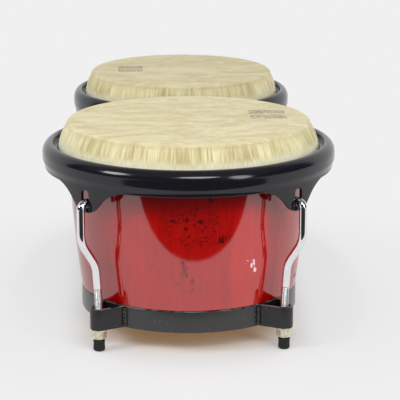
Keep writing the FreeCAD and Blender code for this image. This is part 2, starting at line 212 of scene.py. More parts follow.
def new_material(name):
    material = bpy.data.materials.new(name)
    material.use_nodes = True
    n = Nodes(material.node_tree)
    n.material = material
    return n


def colour(r, g, b):
    """Linear colour from 8-bit display values."""

    def linear(v):
        v /= 255
        return v / 12.92 if v <= 0.04045 else ((v + 0.055) / 1.055) ** 2.4

    return (linear(r), linear(g), linear(b), 1.0)


PAPER = colour(240, 240, 240)  # floor and background


def add_world():
    """White behind the drums and dim in front, as gloss and chrome see it; even soft light for the rest."""
    world = bpy.data.worlds.new("studio")
    bpy.context.scene.world = world
    world.use_nodes = True
    n = Nodes(world.node_tree)
    way = n.split(n.add("ShaderNodeTexCoord").outputs["Generated"])
    behind = n.step(way[1], 0.28, 0.42)
    high = n.step(way[2], 0.3, 0.95)
    wall = n.mix(high, (0.88, 0.88, 0.90, 1), (0.35, 0.35, 0.36, 1))
    room = n.mix(high, (0.03, 0.03, 0.035, 1), (0.20, 0.20, 0.21, 1))
    around = n.mix(behind, room, wall)
    soft = n.mix(n.step(way[2], 0.0, 0.9), (0.80, 0.80, 0.80, 1), (0.98, 0.98, 0.98, 1))
    rays = n.add("ShaderNodeLightPath").outputs
    lit = n.mix(rays["Is Diffuse Ray"], around, soft)
    whole = n.mix(rays["Is Camera Ray"], lit, PAPER)
    background = n.add("ShaderNodeBackground", {"Color": whole, "Strength": 1.0})
    n.add("ShaderNodeOutputWorld", {"Surface": background.outputs[0]})


def add_floor():
    """A wide pale floor.  In reflections it ends a short way in front of the drums, as a table does."""
    corners = [(FLOOR_HALF * x, FLOOR_HALF * y, 0) for x, y in ((-1, -1), (1, -1), (1, 1), (-1, 1))]
    mesh = bpy.data.meshes.new("floor")
    mesh.from_pydata(corners, [], [(0, 1, 2, 3)])
    floor = new_object("floor", mesh)
    n = new_material("floor_paper")
    place = n.add("ShaderNodeNewGeometry").outputs["Position"]
    x, y, _ = n.split(place)
    near = n.add("ShaderNodeBsdfDiffuse", {"Color": (0.75, 0.75, 0.75, 1)})
    # Painted shade: the glowing paper dims near the drums. Painted light: beside them it covers the real
    # shadow.
    painted_floor_shade = n.step(n.length(place), *FLOOR_PAINTED_SHADE)
    far = n.add("ShaderNodeEmission", {"Color": PAPER, "Strength": painted_floor_shade})
    around = n.step(n.length(n.stretch(place, *FLOOR_OVAL)), *FLOOR_WHITER)
    beside = n.step(n.math("ABSOLUTE", x), *FLOOR_BESIDE)
    whiter = n.math("MAXIMUM", around, beside)
    paper = n.add("ShaderNodeMixShader", {0: whiter, 1: near.outputs[0], 2: far.outputs[0]})
    bow = n.times(n.math("POWER", n.minus(x, TABLE_EDGE_X), 2.0), TABLE_EDGE_BOW)
    past_edge = n.step(n.plus(n.plus(y, bow), TABLE_EDGE), 0.0, -TABLE_EDGE_SOFT)
    gloss_ray = n.add("ShaderNodeLightPath").outputs["Is Glossy Ray"]
    dark = n.add("ShaderNodeBsdfDiffuse", {"Color": (0.02, 0.02, 0.02, 1)})
    mirrored = n.times(past_edge, gloss_ray)
    whole = n.add("ShaderNodeMixShader", {0: mirrored, 1: paper.outputs[0], 2: dark.outputs[0]})
    n.add("ShaderNodeOutputMaterial", {"Surface": whole.outputs[0]})
    mesh.materials.append(n.material)


add_camera()
for light_name, light_sizes in STUDIO_LIGHTS.items():
    add_light(light_name, *light_sizes)
add_world()
add_floor()
bpy.context.scene.view_settings.view_transform = "Standard"

# ---- sizes, the same as in the CAD ----

LUG_ANGLES = (45, 135, 225, 315)  # degrees round each drum, from +X

# Radii as shares of a head's radius.
SHELL_TOP_SHARE = 0.9945
SHELL_WAIST_SHARE = 0.9545
SHELL_LOW_SHARE = 0.8905
RING_SHARE = 0.8915
COLLAR_SHARE = 1.0594
COLLAR_END_SHARE = 1.0660
LIP_SHARE = 1.1068
RIM_SHARE = 1.1982
EAR_SHARE = 1.1808

HEAD_Z = 190.0
SKIN_T = 0.6
BEARING_Z = HEAD_Z - SKIN_T
BEARING_EDGE_R = 3.4
WAIST_Z = 101.0
RING_Z = 20.0
RING_H = 19.5
RING_TOP_Z = RING_Z + RING_H
SHELL_BOTTOM_Z = 20.6
SHELL_T = 9.5
INNER_BEVEL = 3.5
REBATE_T = 2.7
REBATE_CLEAR = 0.4
FOOT_WALL_T = 7.1
FOOT_CHAMFER = 0.6  # outside
FOOT_BEVEL = 0.8  # inside
RING_T = 2.6
SKIN_GAP = 0.05
COLLAR_BULGE = 0.7
SKIN_BEND_Z = 168.0
SKIN_END_Z = 158.6
# Shallow pleats in the collar: count round it, share of the depth, phase.
PLEATS = ((19, 0.3, 0.8), (31, 0.9, 2.1), (47, 1.0, 0.4), (74, 0.8, 4.0), (113, 0.5, 1.3))
PLEAT_DEPTH = 0.13

RIM_T = 2.7
EAR_T = 3.0
CROWN_Z = 171.5
LIP_ROUND = 2.1
SHOULDER_Z = 162.6
SIDE_LOW_Z = 155.0
TURN_IN = 4.2
TURN_TOP_Z = 158.0  # the side eases in to the skirt from here down to the next height
TURN_LOW_Z = 150.2
SKIRT_Z = 149.0
SKIRT_ROUND = 0.8
FLANGE_Z = 163.5
FLANGE_T = 2.6
FLANGE_CLEAR = 0.8
FLANGE_ROUND = 0.6
HOOP_CLEAR = 0.35
HOOP_ROUND = 0.7
EAR_ROOT = (38.0, 149.0)  # half width and height
EAR_FLARE = (26.8, 145.2)
EAR_NECK = (19.0, 139.6)
EAR_TIP = (11.4, 131.2)
EAR_TIP_Z = 127.3
SLOT_W = 9.0
SLOT_R = 3.0
SLOT_TOP_Z = 147.4

ROD_R = 3.55
HOOK_BEND_R = 6.2
HOOK_TOP_Z = 139.8
HOOK_TAIL = 2.0
ROD_STANDOFF = 5.1
CRANK_TOP_Z = 101.5
CRANK_LOW_Z = 78.0
CRANK_R = 24.0
ROD_LEAN = 2.6
STRAIGHT_Z = 47.0
LEAN_R = 60.0
BRACKET_REACH = 17.2
ROD_END_Z = 2.5
THREAD_TOP_Z = 57.5
THREAD_PITCH = 1.25
THREAD_DEPTH = 0.42
PATH_TURN = 3  # degrees between the points of a rod's bends

BRACKET_T = 2.6
BRACKET_ROUND = 0.7
BRACKET_SINK = 1.4  # how far a leg's end goes into the ring
BRACKET_BORE_R = 5.1
BRACKET_FOOT = 13.5
RING_ROUND = 0.8
BEAD_R = 2.4
BEAD_RIPPLE = 1.5  # from one ripple of a weld to the next
CAP_R = 5.2
CAP_H = 10.5
CAP_ROUND = 2.2
CAP_LIP_ROUND = 0.7
SEAT_R = 13.5
SEAT_DEPTH = 0.9
BOLT_HOLE_R = 4.25
BOLT_Z = (86.0, 122.0)

COLUMNS = 360  # points round a turned piece
SMALL_COLUMNS = 48
ROD_COLUMNS = 24
BEAD_COLUMNS = 16


def circle_through(a, b, c):
    """Centre and radius of the circle through three points of a plane."""
    a, b, c = (np.array(p, float) for p in (a, b, c))
    centre = np.linalg.solve(2 * np.array((b - a, c - a)), (b @ b - a @ a, c @ c - a @ a))
    return centre, math.dist(centre, a)


class Drum:
    """Sizes of one drum, worked out from its packed rim."""

    def __init__(self, name):
        low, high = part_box(name + "_rim")
        self.name = name
        self.tuning = name + "_tuning"
        self.y = (low.y + high.y) / 2 / MM
        self.rim_r = (high.x - low.x) / 2 / MM
        head_r = self.rim_r / RIM_SHARE
        self.ring_r = RING_SHARE * head_r
        self.collar_r = COLLAR_SHARE * head_r
        self.collar_end_r = COLLAR_END_SHARE * head_r
        self.lip_r = LIP_SHARE * head_r
        self.ear_r = EAR_SHARE * head_r
        self.hook_r = self.ear_r + ROD_STANDOFF
        self.rod_r = self.ring_r + BRACKET_REACH
        self.arc, self.arc_r = circle_through(
            (SHELL_TOP_SHARE * head_r, BEARING_Z),
            (SHELL_WAIST_SHARE * head_r, WAIST_Z),
            (SHELL_LOW_SHARE * head_r, RING_TOP_Z),
        )
        self.edge_r = self.shell_r(BEARING_Z - BEARING_EDGE_R)

    def shell_r(self, z):
        """Outside radius of the shell at a height."""
        return self.arc[0] + math.sqrt(self.arc_r**2 - (z - self.arc[1]) ** 2)


DRUMS = [Drum("hembra"), Drum("macho")]
for drum in DRUMS:
    add_head_glow(drum.name + "_glow", drum.y * MM, HEAD_GLOW_SHARE * drum.ring_r * MM)


# ---- mesh helpers ----


def rounded(corners, closed=True, turn=15):
    """Points along a polygon whose corners (x, y, radius) are rounded, one for every few degrees of turn."""
    points = []
    for i, (x, y, radius) in enumerate(corners):
        here = np.array((x, y))
        at_end = not closed and i in (0, len(corners) - 1)
        if at_end or radius == 0:
            points.append(here)
            continue
        back = np.array(corners[i - 1][:2]) - here
        onward = np.array(corners[(i + 1) % len(corners)][:2]) - here
        back /= np.linalg.norm(back)
        onward /= np.linalg.norm(onward)
        half = math.acos(back @ onward) / 2
        inward = (back + onward) / np.linalg.norm(back + onward)
        centre = here + inward * radius / math.sin(half)
        first = here + back * radius / math.tan(half) - centre
        last = here + onward * radius / math.tan(half) - centre
        start = math.atan2(first[1], first[0])
        sweep = (math.atan2(last[1], last[0]) - start + math.pi) % TAU - math.pi
        steps = max(2, round(abs(math.degrees(sweep)) / turn))
        for angle in np.linspace(start, start + sweep, steps + 1):
            points.append(centre + radius * np.array((math.cos(angle), math.sin(angle))))
    return np.array(points)


def rounded_box(low, high, radius):
    """Rounded rectangle between two opposite corners."""
    (x0, y0), (x1, y1) = low, high
    return rounded([(x0, y0, radius), (x1, y0, radius), (x1, y1, radius), (x0, y1, radius)])


def quarter(centre, run, rise, first, last, steps=7):
    """Points of an ellipse's arc between two angles in degrees, measured from its +Z end."""
    angles = np.radians(np.linspace(first, last, steps + 1))
    return [(centre[0] + run * math.sin(a), centre[1] + rise * math.cos(a)) for a in angles]


def circle(count):
    """Angles of points evenly round a circle."""
    return np.linspace(0, TAU, count, endpoint=False)


def grid_faces(rows, columns, wrap_rows):
    faces = []
    for i in range(rows if wrap_rows else rows - 1):
        here, there = i * columns, (i + 1) % rows * columns
        for j in range(columns):
            k = (j + 1) % columns
            faces.append((here + j, here + k, there + k, there + j))
    return faces


def turned(profile, columns=COLUMNS):
    """A closed section (radius, height) turned about the Z axis: points and faces."""
    angles = circle(columns)
    section = np.array(profile)
    points = np.empty((len(section), columns, 3))
    points[..., 0] = section[:, :1] * np.cos(angles)
    points[..., 1] = section[:, :1] * np.sin(angles)
    points[..., 2] = section[:, 1:]
    return points, grid_faces(len(section), columns, True)


def tube(points):
    """Rows of closed loops joined into a tube with closed ends."""
    rows, columns = points.shape[:2]
    faces = grid_faces(rows, columns, False)
    faces.append(tuple(range(columns)))
    faces.append(tuple(range((rows - 1) * columns, rows * columns)))
    return points, faces


def joined(*parts):
    """Several (points, faces) as one."""
    points, faces, start = [], [], 0
    for part_points, part_faces in parts:
        flat = part_points.reshape(-1, 3)
        points.append(flat)
        faces += [tuple(i + start for i in face) for face in part_faces]
        start += len(flat)
    return np.concatenate(points), faces


def placed(shape, drum, angle):
    """A shape drawn on the +X side, turned to a lug and moved to its drum."""
    points, faces = shape
    c, s = math.cos(math.radians(angle)), math.sin(math.radians(angle))
    moved = points.copy()
    moved[..., 0] = points[..., 0] * c - points[..., 1] * s
    moved[..., 1] = points[..., 0] * s + points[..., 1] * c + drum.y
    return moved, faces


def mesh_object(name, shape, sharp_angle=40):
    points, faces = shape
    mesh = bpy.data.meshes.new(name)
    mesh.from_pydata((points.reshape(-1, 3) * MM).tolist(), [], faces)
    work = bmesh.new()
    work.from_mesh(mesh)
    bmesh.ops.remove_doubles(work, verts=work.verts, dist=1e-7)
    bmesh.ops.recalc_face_normals(work, faces=work.faces)
    work.to_mesh(mesh)
    work.free()
    mesh.shade_smooth()
    mesh.set_sharp_from_angle(angle=math.radians(sharp_angle))
    return new_object(name, mesh)


def cut(piece, cutters, sharp_angle=40):
    """Cuts closed shapes out of a piece for good."""
    for cutter in cutters:
        modifier = piece.modifiers.new("cut", "BOOLEAN")
        modifier.operation = "DIFFERENCE"
        modifier.solver = "EXACT"
        modifier.object = cutter
    bpy.context.view_layer.update()
    depsgraph = bpy.context.evaluated_depsgraph_get()
    mesh = bpy.data.meshes.new_from_object(piece.evaluated_get(depsgraph))
    piece.modifiers.clear()
    piece.data = mesh
    mesh.shade_smooth()
    mesh.set_sharp_from_angle(angle=math.radians(sharp_angle))
    for cutter in cutters:
        bpy.data.objects.remove(cutter)


def finish_piece(piece, body, node, slot, *materials):
    """The piece stands for its CAD node, which is hidden, and rides on one body when one is given."""
    piece.data.materials.clear()
    for material in materials:
        piece.data.materials.append(material)
    if body:
        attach(piece, body)
    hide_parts(node)


def soften(piece, width, sharper_than):
    """Rounds the edges that are sharper than an angle in degrees."""
    bevel = piece.modifiers.new("soft_edges", "BEVEL")
    bevel.width = width * MM
    bevel.segments = 2
    bevel.limit_method = "ANGLE"
    bevel.angle_limit = math.radians(sharper_than)
    return bevel


# ---- shapes ----


def ear_low_z(across):
    """Height of the rim's lower edge, by the distance across from a lug's centreline."""
    across = abs(across)
    if across >= EAR_ROOT[0]:
        return SKIRT_Z
    if across >= EAR_NECK[0]:
        centre, radius = circle_through(EAR_ROOT, EAR_FLARE, EAR_NECK)
        return centre[1] + math.sqrt(radius**2 - (across - centre[0]) ** 2)
    if across >= EAR_TIP[0]:
        share = (across - EAR_TIP[0]) / (EAR_NECK[0] - EAR_TIP[0])
        return EAR_TIP[1] + share * (EAR_NECK[1] - EAR_TIP[1])
    centre, radius = circle_through(EAR_TIP, (0, EAR_TIP_Z), (-EAR_TIP[0], EAR_TIP[1]))
    return centre[1] - math.sqrt(radius**2 - across**2)


def rim_section(drum, low_z):
    """Rolled rim: flange, inner wall, crown, side and skirt down to its lower edge, and back up inside."""
    crown_r = drum.lip_r + LIP_ROUND
    rise = CROWN_Z - SHOULDER_Z
    skirt_r = drum.ear_r - EAR_T
    skirt_top = SIDE_LOW_Z - TURN_IN
    inner_r = drum.lip_r + RIM_T
    flange_r = drum.collar_end_r + FLANGE_CLEAR
    edge = SKIRT_ROUND
    section = rounded(
        [
            (inner_r, FLANGE_Z, FLANGE_ROUND),
            (flange_r, FLANGE_Z, FLANGE_ROUND),
            (flange_r, FLANGE_Z + FLANGE_T, 0.8),
            (drum.lip_r, FLANGE_Z + FLANGE_T, 1.0),
            (drum.lip_r, CROWN_Z - LIP_ROUND, 0),
        ],
        closed=False,
    ).tolist()
    section += quarter((crown_r, CROWN_Z - LIP_ROUND), LIP_ROUND, LIP_ROUND, -90, 0)[1:]
    section += quarter((crown_r, SHOULDER_Z), drum.rim_r - crown_r, rise, 0, 90, 12)[1:]
    for share in (0.33, 0.67):
        section.append((drum.rim_r, SHOULDER_Z + share * (TURN_TOP_Z - SHOULDER_Z)))
    for share in np.linspace(0, 1, 11):
        inward = (drum.rim_r - drum.ear_r) * share**2 * (3 - 2 * share)
        section.append((drum.rim_r - inward, TURN_TOP_Z - (TURN_TOP_Z - TURN_LOW_Z) * share))
    for share in (0.25, 0.5, 0.75):
        section.append((drum.ear_r, TURN_LOW_Z + share * (low_z + edge - TURN_LOW_Z)))
    section += quarter((drum.ear_r - edge, low_z + edge), edge, edge, 90, 180, 4)
    section += quarter((skirt_r + edge, low_z + edge), edge, edge, 180, 270, 4)
    for share in (0.8, 0.6, 0.4, 0.2, 0):
        section.append((skirt_r, skirt_top + share * (low_z + edge - skirt_top)))
    section.append((drum.rim_r - RIM_T, SIDE_LOW_Z))
    section += quarter((inner_r, SHOULDER_Z), drum.rim_r - RIM_T - inner_r, rise - RIM_T, 90, 0, 8)
    return section


def rim_shape(drum):
    """The rim's section turned round the drum, its lower edge following the ears."""
    angles = circle(COLUMNS)
    columns = []
    for angle in angles:
        from_lug = (angle - math.radians(LUG_ANGLES[0]) + TAU / 8) % (TAU / 4) - TAU / 8
        radius, z = np.array(rim_section(drum, ear_low_z(drum.ear_r * math.sin(from_lug)))).T
        columns.append(np.stack((radius * math.cos(angle), radius * math.sin(angle), z), axis=1))
    points = np.stack(columns, axis=1)
    return points, grid_faces(points.shape[0], COLUMNS, True)


def slot_seat_z():
    """Lower end of an ear's slot, which the inside of the hook's bend bears on."""
    inside = HOOK_BEND_R - ROD_R
    past_face = HOOK_BEND_R - ROD_STANDOFF
    furthest = max(past_face, EAR_T - past_face)
    return HOOK_TOP_Z - ROD_R - HOOK_BEND_R + math.sqrt(inside**2 - furthest**2)


def slot_shape(drum):
    """Cutter for the slot of the ear on the +X side."""
    outline = rounded_box((-SLOT_W / 2, slot_seat_z()), (SLOT_W / 2, SLOT_TOP_Z), SLOT_R)
    rows = [
        np.column_stack((np.full(len(outline), r), outline))
        for r in (drum.ear_r - 2 * EAR_T, drum.ear_r + EAR_T)
    ]
    return tube(np.array(rows))


def skin_shape(drum):
    """Head film: flat over the bearing edge, then a collar with shallow pleats, then straight down."""
    top_r = drum.edge_r + SKIN_GAP + SKIN_T
    edge = BEARING_EDGE_R + SKIN_T
    flat_r = top_r - edge
    low = HEAD_Z - edge
    middle = ((top_r + drum.collar_r) / 2 + COLLAR_BULGE, (low + CROWN_Z) / 2)
    centre, radius = circle_through((top_r, low), middle, (drum.collar_r, CROWN_Z))
    outside = [(r, HEAD_Z) for r in np.linspace(0, flat_r, 14)]
    outside += quarter((flat_r, low), edge, edge, 0, 90)[1:]
    for z in np.linspace(low, CROWN_Z, 15)[1:]:
        side = 1 if middle[0] > centre[0] else -1
        outside.append((centre[0] + side * math.sqrt(radius**2 - (z - centre[1]) ** 2), z))
    outside.append((drum.collar_end_r, SKIN_BEND_Z))
    outside.append((drum.collar_end_r, SKIN_END_Z))
    outside = np.array(outside)
    inside = outside.copy()
    on_top = outside[:, 0] <= flat_r
    inside[on_top, 1] -= SKIN_T
    inside[~on_top, 0] -= SKIN_T
    over_edge = ~on_top & (outside[:, 1] > low)
    inside[over_edge] = np.array((flat_r, low)) + (outside[over_edge] - (flat_r, low)) * (1 - SKIN_T / edge)
    points, faces = turned(np.concatenate((outside, inside[::-1])))
    return with_pleats(points, low), faces


def with_pleats(points, crease_z):
    """Pushes the collar in and out a little, most half way down it, as film moulded over an edge is."""
    angle = np.arctan2(points[..., 1], points[..., 0])
    wave = sum(share * np.sin(count * angle + phase) for count, share, phase in PLEATS)
    down = np.clip((crease_z - points[..., 2]) / (crease_z - SKIN_BEND_Z), 0, 1)
    push = PLEAT_DEPTH * wave * np.sin(math.pi * down)
    radius = np.maximum(np.hypot(points[..., 0], points[..., 1]), 1e-6)
    moved = points.copy()
    moved[..., 0] *= 1 + push / radius
    moved[..., 1] *= 1 + push / radius
    return moved


def shell_shape(drum):
    """Barrel-curved shell with a rounded bearing edge, and a step for the bottom ring."""
    step_r = drum.ring_r - REBATE_T
    step_z = RING_TOP_Z + REBATE_CLEAR
    bore_r = drum.edge_r - SHELL_T
    section = [(step_r, SHELL_BOTTOM_Z + FOOT_CHAMFER), (step_r, step_z - 0.3), (step_r + 0.3, step_z)]
    section.append((drum.shell_r(step_z) - 0.5, step_z))
    section += [(drum.shell_r(z), z) for z in np.linspace(step_z + 0.5, BEARING_Z - BEARING_EDGE_R, 36)]
    edge_centre = (drum.edge_r - BEARING_EDGE_R, BEARING_Z - BEARING_EDGE_R)
    section += quarter(edge_centre, BEARING_EDGE_R, BEARING_EDGE_R, 90, 0, 6)[1:]
    section.append((bore_r + INNER_BEVEL, BEARING_Z - INNER_BEVEL / 2))
    section.append((bore_r, BEARING_Z - 2 * INNER_BEVEL))
    section += [(drum.shell_r(z) - SHELL_T, z) for z in np.linspace(BEARING_Z - 12, RING_TOP_Z, 24)]
    section.append((step_r - FOOT_WALL_T, SHELL_BOTTOM_Z + FOOT_BEVEL))
    section.append((step_r - FOOT_WALL_T + FOOT_BEVEL, SHELL_BOTTOM_Z))
    section.append((step_r - FOOT_CHAMFER, SHELL_BOTTOM_Z))
    return turned(section)


def drill_shape(radius, start_y, end_y, z):
    """Cutter along Y."""
    angles = circle(SMALL_COLUMNS)
    across, up = radius * np.cos(angles), z + radius * np.sin(angles)
    rows = [np.column_stack((across, np.full(SMALL_COLUMNS, y), up)) for y in (start_y, end_y)]
    return tube(np.array(rows))


def resampled(path, lengths):
    """Points of a path at given lengths along it."""
    along = np.concatenate(((0,), np.cumsum(np.linalg.norm(np.diff(path, axis=0), axis=1))))
    return np.column_stack([np.interp(lengths, along, path[:, k]) for k in range(2)])


def rod_shape(drum):
    """J-hook rod on the +X side, its lower end cut with a real screw thread."""
    tail_r = drum.hook_r - 2 * HOOK_BEND_R
    bend_top = HOOK_TOP_Z - ROD_R
    path = rounded(
        [
            (tail_r, bend_top - HOOK_BEND_R - HOOK_TAIL, 0),
            (tail_r, bend_top, HOOK_BEND_R),
            (drum.hook_r, bend_top, HOOK_BEND_R),
            (drum.hook_r, CRANK_TOP_Z, CRANK_R),
            (drum.rod_r + ROD_LEAN, CRANK_LOW_Z, CRANK_R),
            (drum.rod_r, STRAIGHT_Z, LEAN_R),
            (drum.rod_r, ROD_END_Z, 0),
        ],
        closed=False,
        turn=PATH_TURN,
    )
    whole = np.linalg.norm(np.diff(path, axis=0), axis=1).sum()
    thread_start = whole - (THREAD_TOP_Z - ROD_END_Z)
    smooth_end = thread_start - THREAD_PITCH
    smooth = np.linspace(1.8, smooth_end, 110)
    threaded = np.arange(smooth_end, whole, THREAD_PITCH / 8)[1:]
    lengths = np.concatenate(((0, 0.3, 0.9), smooth, threaded, (whole,)))
    centre = resampled(path, lengths)
    ahead = resampled(path, np.minimum(lengths + 0.4, whole)) - resampled(path, np.maximum(lengths - 0.4, 0))
    ahead /= np.linalg.norm(ahead, axis=1)[:, None]
    side = np.column_stack((-ahead[:, 1], ahead[:, 0]))
    angles = circle(ROD_COLUMNS)
    turns = lengths[:, None] / THREAD_PITCH + angles / TAU
    groove = np.clip(1.3 * np.abs(2 * (turns % 1) - 1) - 0.15, 0, 1)
    cut_in = np.clip((lengths - thread_start) / (1.5 * THREAD_PITCH), 0, 1)[:, None]
    radius = ROD_R - THREAD_DEPTH * groove * cut_in
    radius[0] = 0.62 * ROD_R
    radius[1] = 0.86 * ROD_R
    points = np.empty(radius.shape + (3,))
    points[..., 0] = centre[:, :1] + radius * np.cos(angles) * side[:, :1]
    points[..., 1] = radius * np.sin(angles)
    points[..., 2] = centre[:, 1:] + radius * np.cos(angles) * side[:, 1:]
    return tube(points)


def strap_path(drum, nose_r, foot_half, sink):
    """Plan of a bracket on the +X side: from one foot, sunk into the ring, round the rod to the other."""
    foot = np.array((math.sqrt(drum.ring_r**2 - foot_half**2), foot_half))
    nose = np.array((drum.rod_r, 0.0))
    reach = foot - nose
    turn = math.atan2(reach[1], reach[0]) - math.acos(nose_r / np.linalg.norm(reach))
    touch = nose + nose_r * np.array((math.cos(turn), math.sin(turn)))
    away = (foot - touch) / np.linalg.norm(foot - touch)
    path = [foot + away * sink]
    path += [touch + (foot - touch) * share for share in (1.0, 0.66, 0.33)]
    bend = np.linspace(turn, -turn, 19)
    path += [nose + nose_r * np.array((math.cos(a), math.sin(a))) for a in bend]
    path += [(p[0], -p[1]) for p in path[3::-1]]
    return np.array([tuple(p) for p in path])


def bracket_shape(drum):
    """Bent strap with rounded edges, and a rippled weld bead where each leg meets the ring."""
    nose_r = BRACKET_BORE_R + BRACKET_T / 2
    path = strap_path(drum, nose_r, BRACKET_FOOT - BRACKET_T / 2, BRACKET_SINK)
    ahead = np.gradient(path, axis=0)
    ahead /= np.linalg.norm(ahead, axis=1)[:, None]
    side = np.column_stack((-ahead[:, 1], ahead[:, 0]))
    section = rounded_box((-BRACKET_T / 2, RING_Z), (BRACKET_T / 2, RING_TOP_Z), BRACKET_ROUND)
    points = np.empty((len(path), len(section), 3))
    points[..., 0] = path[:, :1] + section[:, 0] * side[:, :1]
    points[..., 1] = path[:, 1:] + section[:, 0] * side[:, 1:]
    points[..., 2] = section[:, 1]
    beads = [bead_shape(drum, way) for way in (1, -1)]
    return joined(tube(points), *beads)


def bead_shape(drum, way):
    """Weld bead up the outside corner between a bracket's leg and the ring."""
    foot_x = math.sqrt(drum.ring_r**2 - BRACKET_FOOT**2)
    heights = np.arange(RING_Z + 0.9, RING_TOP_Z - 0.8, BEAD_RIPPLE / 6)
    angles = circle(BEAD_COLUMNS)
    ends = np.clip(np.minimum(heights - heights[0], heights[-1] - heights) / 1.2, 0.15, 1)
    ripple = 1 + 0.07 * np.sin(TAU * heights / BEAD_RIPPLE) + 0.07 * np.sin(1.7 * heights + way)
    radius = BEAD_R * np.sqrt(ends) * ripple
    points = np.empty((len(heights), len(angles), 3))
    points[..., 0] = foot_x - 0.1 + radius[:, None] * np.cos(angles)
    points[..., 1] = way * (BRACKET_FOOT + 0.3) + 1.15 * radius[:, None] * np.sin(angles)
    points[..., 2] = heights[:, None]
    return tube(points)


def cap_shape(drum):
    """Rubber cap with a rounded foot, a soft lip at its mouth and a bore for the rod."""
    section = [(0, 0), (CAP_R - CAP_ROUND, 0)]
    section += quarter((CAP_R - CAP_ROUND, CAP_ROUND), CAP_ROUND, CAP_ROUND, 180, 90)[1:]
    section += [(CAP_R - 0.15, 4.5), (CAP_R - 0.25, CAP_H - 2.6), (CAP_R, CAP_H - 2.0)]
    lip = CAP_LIP_ROUND
    section += quarter((CAP_R - lip, CAP_H - lip), lip, lip, 90, 0, 4)
    section += [(ROD_R, CAP_H), (ROD_R, ROD_END_Z), (0, ROD_END_Z)]
    points, faces = turned(section, SMALL_COLUMNS)
    points[..., 0] += drum.rod_r
    return points, faces


# ---- materials ----


def finish_material(n, **inputs):
    """Principled surface and output.  An underscore in an input's name stands for a space."""
    named = {key.replace("_", " "): value for key, value in inputs.items()}
    surface = n.add("ShaderNodeBsdfPrincipled", named)
    n.add("ShaderNodeOutputMaterial", {"Surface": surface.outputs[0]})
    return n.material


def object_place(n):
    return n.add("ShaderNodeTexCoord").outputs["Object"]


def height_mm(n, place):
    return n.times(n.split(place)[2], 1 / MM)


def azimuth_and_height(n, drum, place):
    """Degrees round a drum from its -Y side, + to the right, and millimetres above the floor."""
    x, y, z = n.split(place)
    azimuth = n.times(n.math("ARCTAN2", x, n.minus(drum.y * MM, y)), 360 / TAU)
    return azimuth, n.times(z, 1 / MM)


def along_wall(n, drum, place):
    """The place moved in or out to one radius, so that a pattern runs straight down a sloping wall."""
    x, y, z = n.split(place)
    flat = n.point(x, n.minus(y, drum.y * MM), 0.0)
    unit = n.add("ShaderNodeVectorMath", {0: flat}, operation="NORMALIZE").outputs[0]
    across = n.split(n.stretch(unit, drum.collar_r * MM, drum.collar_r * MM, 0.0))
    return n.point(across[0], across[1], z)


def spot(n, azimuth, height, centre, half_size):
    """1 in the middle of an oval on a drum's side, falling to 0 at its edge.  Sizes in degrees and mm."""
    across = n.times(n.minus(azimuth, centre[0]), 1 / half_size[0])
    up = n.times(n.minus(height, centre[1]), 1 / half_size[1])
    away = n.plus(n.times(across, across), n.times(up, up))
    return n.step(away, 1.0, 0.35)


# Wear in the lacquer, lighter patches (bright) and painted shade down one side (shade): (azimuth, height),
# (half width in degrees, half height in mm).
LACQUER_WEAR_AND_SHADE = {
    "hembra": {
        "specks": [((1.0, 117.0), (20.0, 25.0)), ((-3.0, 123.0), (12.0, 5.0)), ((14.0, 107.0), (6.0, 9.0))],
        "scuffs": [((-3.6, 77.5), (2.6, 8.0)), ((-4.7, 84.5), (1.4, 4.0)), ((-0.3, 64.5), (1.8, 8.5)),
                   ((-6.8, 66.0), (0.9, 1.8)), ((-2.4, 57.5), (1.3, 2.8))],
        "blots": [((8.0, 140.7), (2.2, 4.0)), ((-2.6, 124.0), (3.0, 2.6)), ((14.0, 106.0), (2.6, 5.0)),
                  ((-8.6, 122.6), (2.6, 2.2)), ((3.8, 122.4), (2.4, 2.0)), ((-5.4, 128.0), (1.6, 1.8))],
        "chips": [((27.6, 81.8), (1.7, 2.8)), ((31.0, 79.4), (1.6, 5.6)), ((32.4, 73.6), (2.0, 2.8))],
        "dents": [((71.5, 51.8), (3.6, 2.4))],
        "bright": [((29.0, 80.0), (13.0, 75.0))],
        "shade": [((-66.0, 80.0), (30.0, 90.0))],
    },
    "macho": {
        "specks": [((150.0, 104.0), (9.0, 12.0)), ((-120.0, 70.0), (6.0, 8.0))],
        "scuffs": [((172.0, 88.0), (3.0, 6.0))],
        "blots": [((158.0, 112.0), (2.0, 4.0))],
        "chips": [((-75.0, 62.0), (2.0, 3.0))],
        "dents": [((120.0, 60.0), (1.3, 2.0))],
        "bright": [((-150.0, 80.0), (12.0, 75.0))],
        "shade": [((115.0, 80.0), (25.0, 90.0))],
    },
}


def all_spots(n, azimuth, height, spots):
    total = 0.0
    for centre, half_size in spots:
        total = n.plus(total, spot(n, azimuth, height, centre, half_size))
    return n.math("MINIMUM", total, 1.0)


def ragged(n, spots, noise, low, high):
    """Breaks the edges of soft spots up by a noise, and leaves islands and holes in them."""
    broken = n.step(n.plus(n.times(spots, 0.5), n.times(n.minus(noise, 0.5), 2.0)), low, high)
    return n.times(broken, n.step(spots, 0.0, 0.2))


def red_wood(n, place, along):
    """Colour of red-dyed wood under lacquer, its grain stretched along one axis (x, y or z)."""
    squeeze = [0.045 if axis == along else 1.0 for axis in "xyz"]
    grain = n.noise(n.stretch(place, *squeeze), 420, 4, 0.6)
    pores = n.noise(n.stretch(place, *[s * s for s in squeeze]), 1500, 2)
    cloud = n.noise(place, 22, 3)
    figure = n.plus(n.times(grain, 0.40), n.plus(n.times(pores, 0.15), n.times(cloud, 0.45)))
    return n.mix(n.step(figure, 0.25, 0.75), colour(132, 3, 2), colour(174, 9, 4))


STAVE_DEG = 18.0  # staves round a shell
STAVE_SHIFT = 6.2  # a joint lies this far to the left of the front


